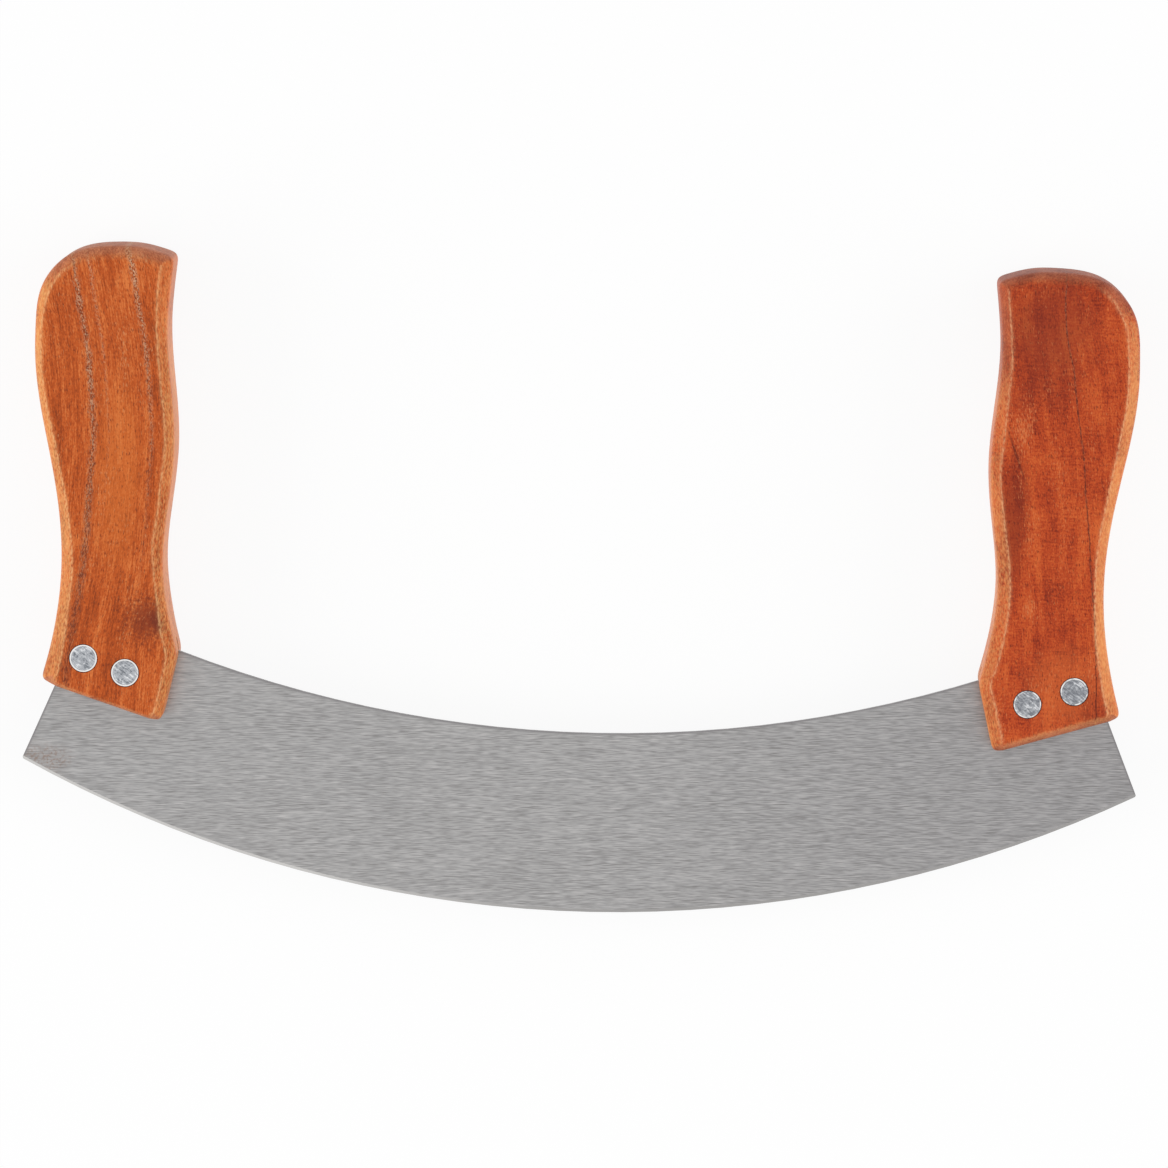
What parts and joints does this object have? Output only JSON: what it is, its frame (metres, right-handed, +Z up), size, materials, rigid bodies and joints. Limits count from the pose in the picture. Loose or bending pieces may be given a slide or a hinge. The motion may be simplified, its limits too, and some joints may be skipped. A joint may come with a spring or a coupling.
{
  "type": "mezzaluna",
  "caption": "Rocking chopper: a crescent blade of brushed steel with a contoured wooden grip riveted upright over each end.",
  "frame": {"origin": "the middle of the whole tool's box, on the surface that its handles lie on", "axes": "+X along the blade towards the right handle, +Y from the cutting edge towards the tops of the handles, +Z up through the blade's face when the tool lies flat"},
  "size_m": [0.2598, 0.1538, 0.02],
  "materials": {
    "blade_steel": "stainless steel brushed along the blade, with a narrow ground edge",
    "left_handle_wood": "reddish-brown stained and oiled hardwood, satin",
    "right_handle_wood": "the same stain, darker and redder, satin",
    "rivet_aluminium": "turned and pressed flush"
  },
  "bodies": {
    "root": {"blade": "blade_steel", "left_handle": "left_handle_wood", "right_handle": "right_handle_wood", "left_outer_rivet_tube": "rivet_aluminium", "left_outer_rivet_pin": "rivet_aluminium", "left_inner_rivet_tube": "rivet_aluminium", "left_inner_rivet_pin": "rivet_aluminium", "right_outer_rivet_tube": "rivet_aluminium", "right_outer_rivet_pin": "rivet_aluminium", "right_inner_rivet_tube": "rivet_aluminium", "right_inner_rivet_pin": "rivet_aluminium"}
  },
  "joints": []
}
